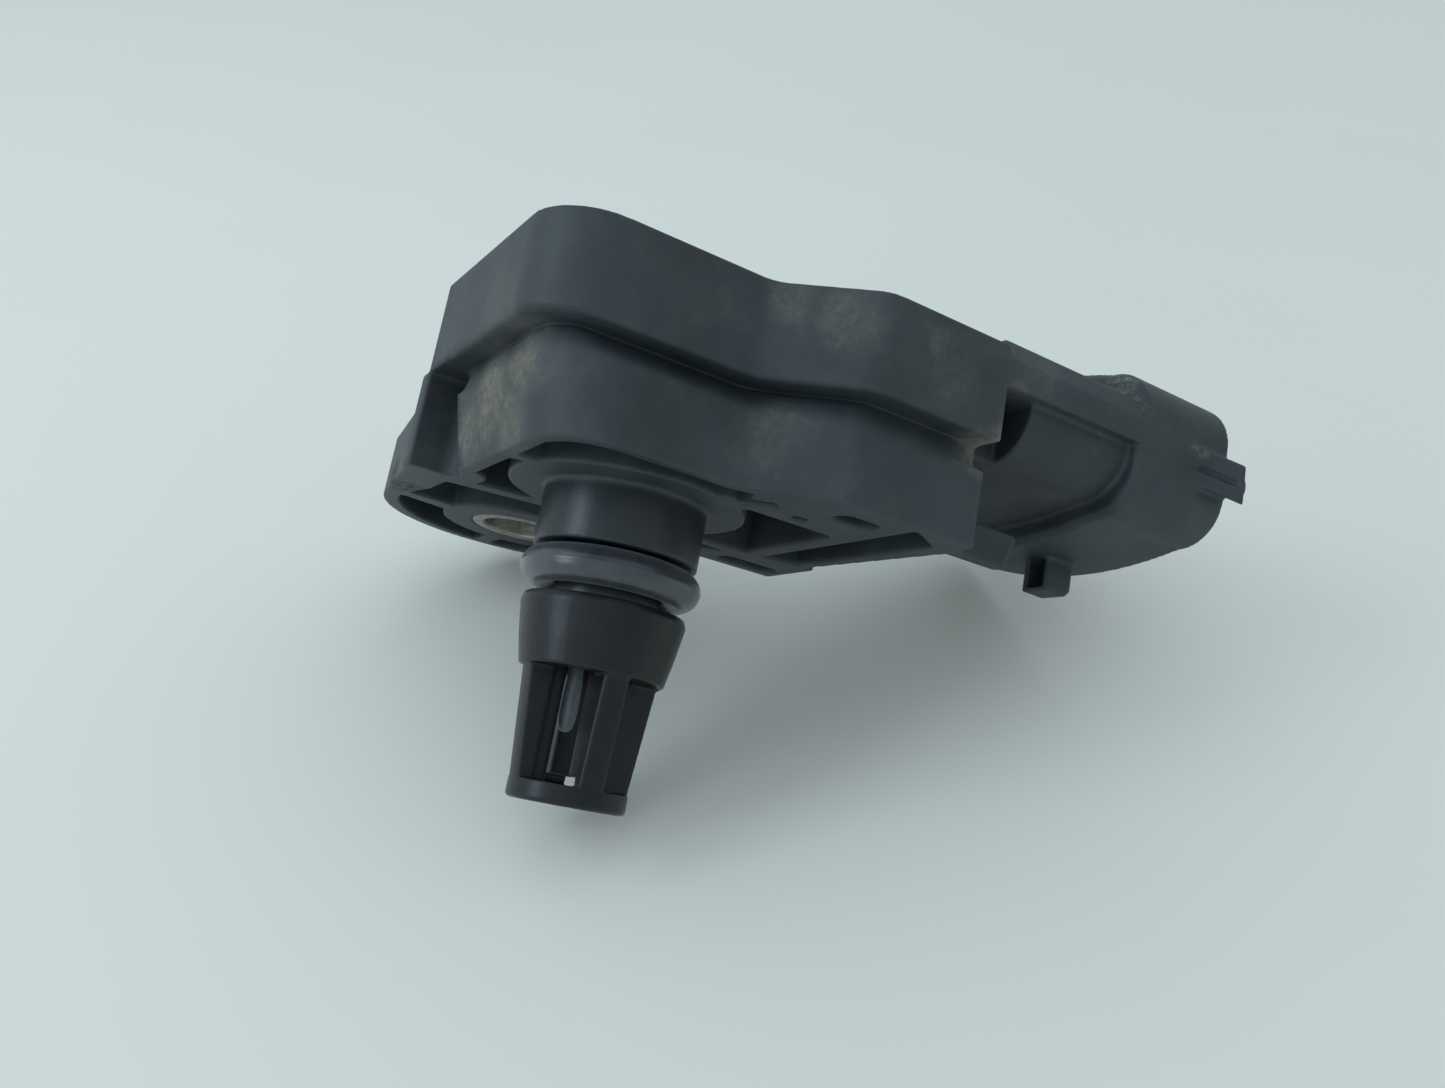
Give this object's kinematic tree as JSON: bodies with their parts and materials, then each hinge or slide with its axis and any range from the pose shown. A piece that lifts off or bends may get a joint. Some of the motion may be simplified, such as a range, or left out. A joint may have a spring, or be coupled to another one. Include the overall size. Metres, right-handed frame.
{
  "type": "intake manifold pressure and temperature sensor",
  "caption": "Plug-in air pressure and temperature sensor: sealed probe with windowed cage, ribbed body, fixing ear with metal bush, oval side connector.",
  "frame": {"origin": "on the probe's axis, in the mounting plane (the underside of the flange)", "axes": "+Z from the probe up to the lid, so the probe points down -Z; +X to the connector's mouth; +Y to the fixing ear. It is stored as it stands when fitted."},
  "size_m": [0.0554, 0.0512, 0.0411],
  "materials": {
    "body_plastic": "moulded charcoal, glass-filled",
    "cage_plastic": "moulded charcoal",
    "adhesive": "cured bead",
    "bush_metal": "plated, tanned",
    "seal_rubber": "dull",
    "thermistor_coat": "coated bead",
    "wire_metal": "tinned",
    "terminal_metal": "tinned brass",
    "board_ceramic": "ceramic",
    "cell_glass": "ground",
    "silicon": "polished",
    "chip_plastic": "moulded",
    "passive_ceramic": "ceramic",
    "gel": "clear gel"
  },
  "bodies": {
    "root": {"housing": "body_plastic", "lid": "body_plastic", "lid_adhesive": "adhesive", "compression_bush": "bush_metal", "o_ring": "seal_rubber", "probe_cage": "cage_plastic", "thermistor": "thermistor_coat", "thermistor_lead_1": "wire_metal", "thermistor_lead_2": "wire_metal", "terminal_1": "terminal_metal", "terminal_2": "terminal_metal", "terminal_3": "terminal_metal", "terminal_4": "terminal_metal", "circuit_board": "board_ceramic", "pressure_seat": "cell_glass", "pressure_die": "silicon", "gel_dam": "chip_plastic", "protective_gel": "gel", "signal_chip": "chip_plastic", "capacitor_1": "passive_ceramic", "capacitor_2": "passive_ceramic", "capacitor_3": "passive_ceramic", "capacitor_4": "passive_ceramic", "resistor_1": "chip_plastic", "resistor_2": "chip_plastic", "resistor_3": "chip_plastic", "diode_1": "chip_plastic", "bond_ribbon_1": "wire_metal", "bond_ribbon_2": "wire_metal", "bond_ribbon_3": "wire_metal", "bond_ribbon_4": "wire_metal"}
  },
  "joints": []
}
